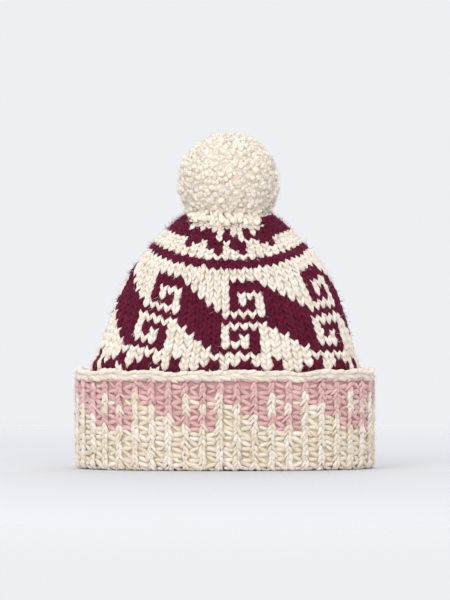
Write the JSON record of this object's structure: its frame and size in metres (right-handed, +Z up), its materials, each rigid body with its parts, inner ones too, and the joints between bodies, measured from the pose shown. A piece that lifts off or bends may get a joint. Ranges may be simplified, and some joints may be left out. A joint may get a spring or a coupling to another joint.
{
  "type": "knitted pompom hat",
  "caption": "Chunky knitted wool hat standing on its rim: ribbed cuff turned up once, domed crown drawn together at the top, round pompom, open below for the head",
  "frame": {"origin": "on the surface that the hat stands on, below the middle of its bounding box", "axes": "+Z up towards the pompom, -Y the front that the picture shows, +X to the right seen from the front"},
  "size_m": [0.2458, 0.1459, 0.2751],
  "materials": {
    "ribbed_wool": "rib knit in cream, oatmeal and rose wool",
    "patterned_wool": "stockinette in cream and wine-red wool",
    "pompom_wool": "cut cream wool yarn"
  },
  "bodies": {
    "root": {"cuff": "ribbed_wool", "crown": "patterned_wool", "pompom": "pompom_wool"}
  },
  "joints": []
}
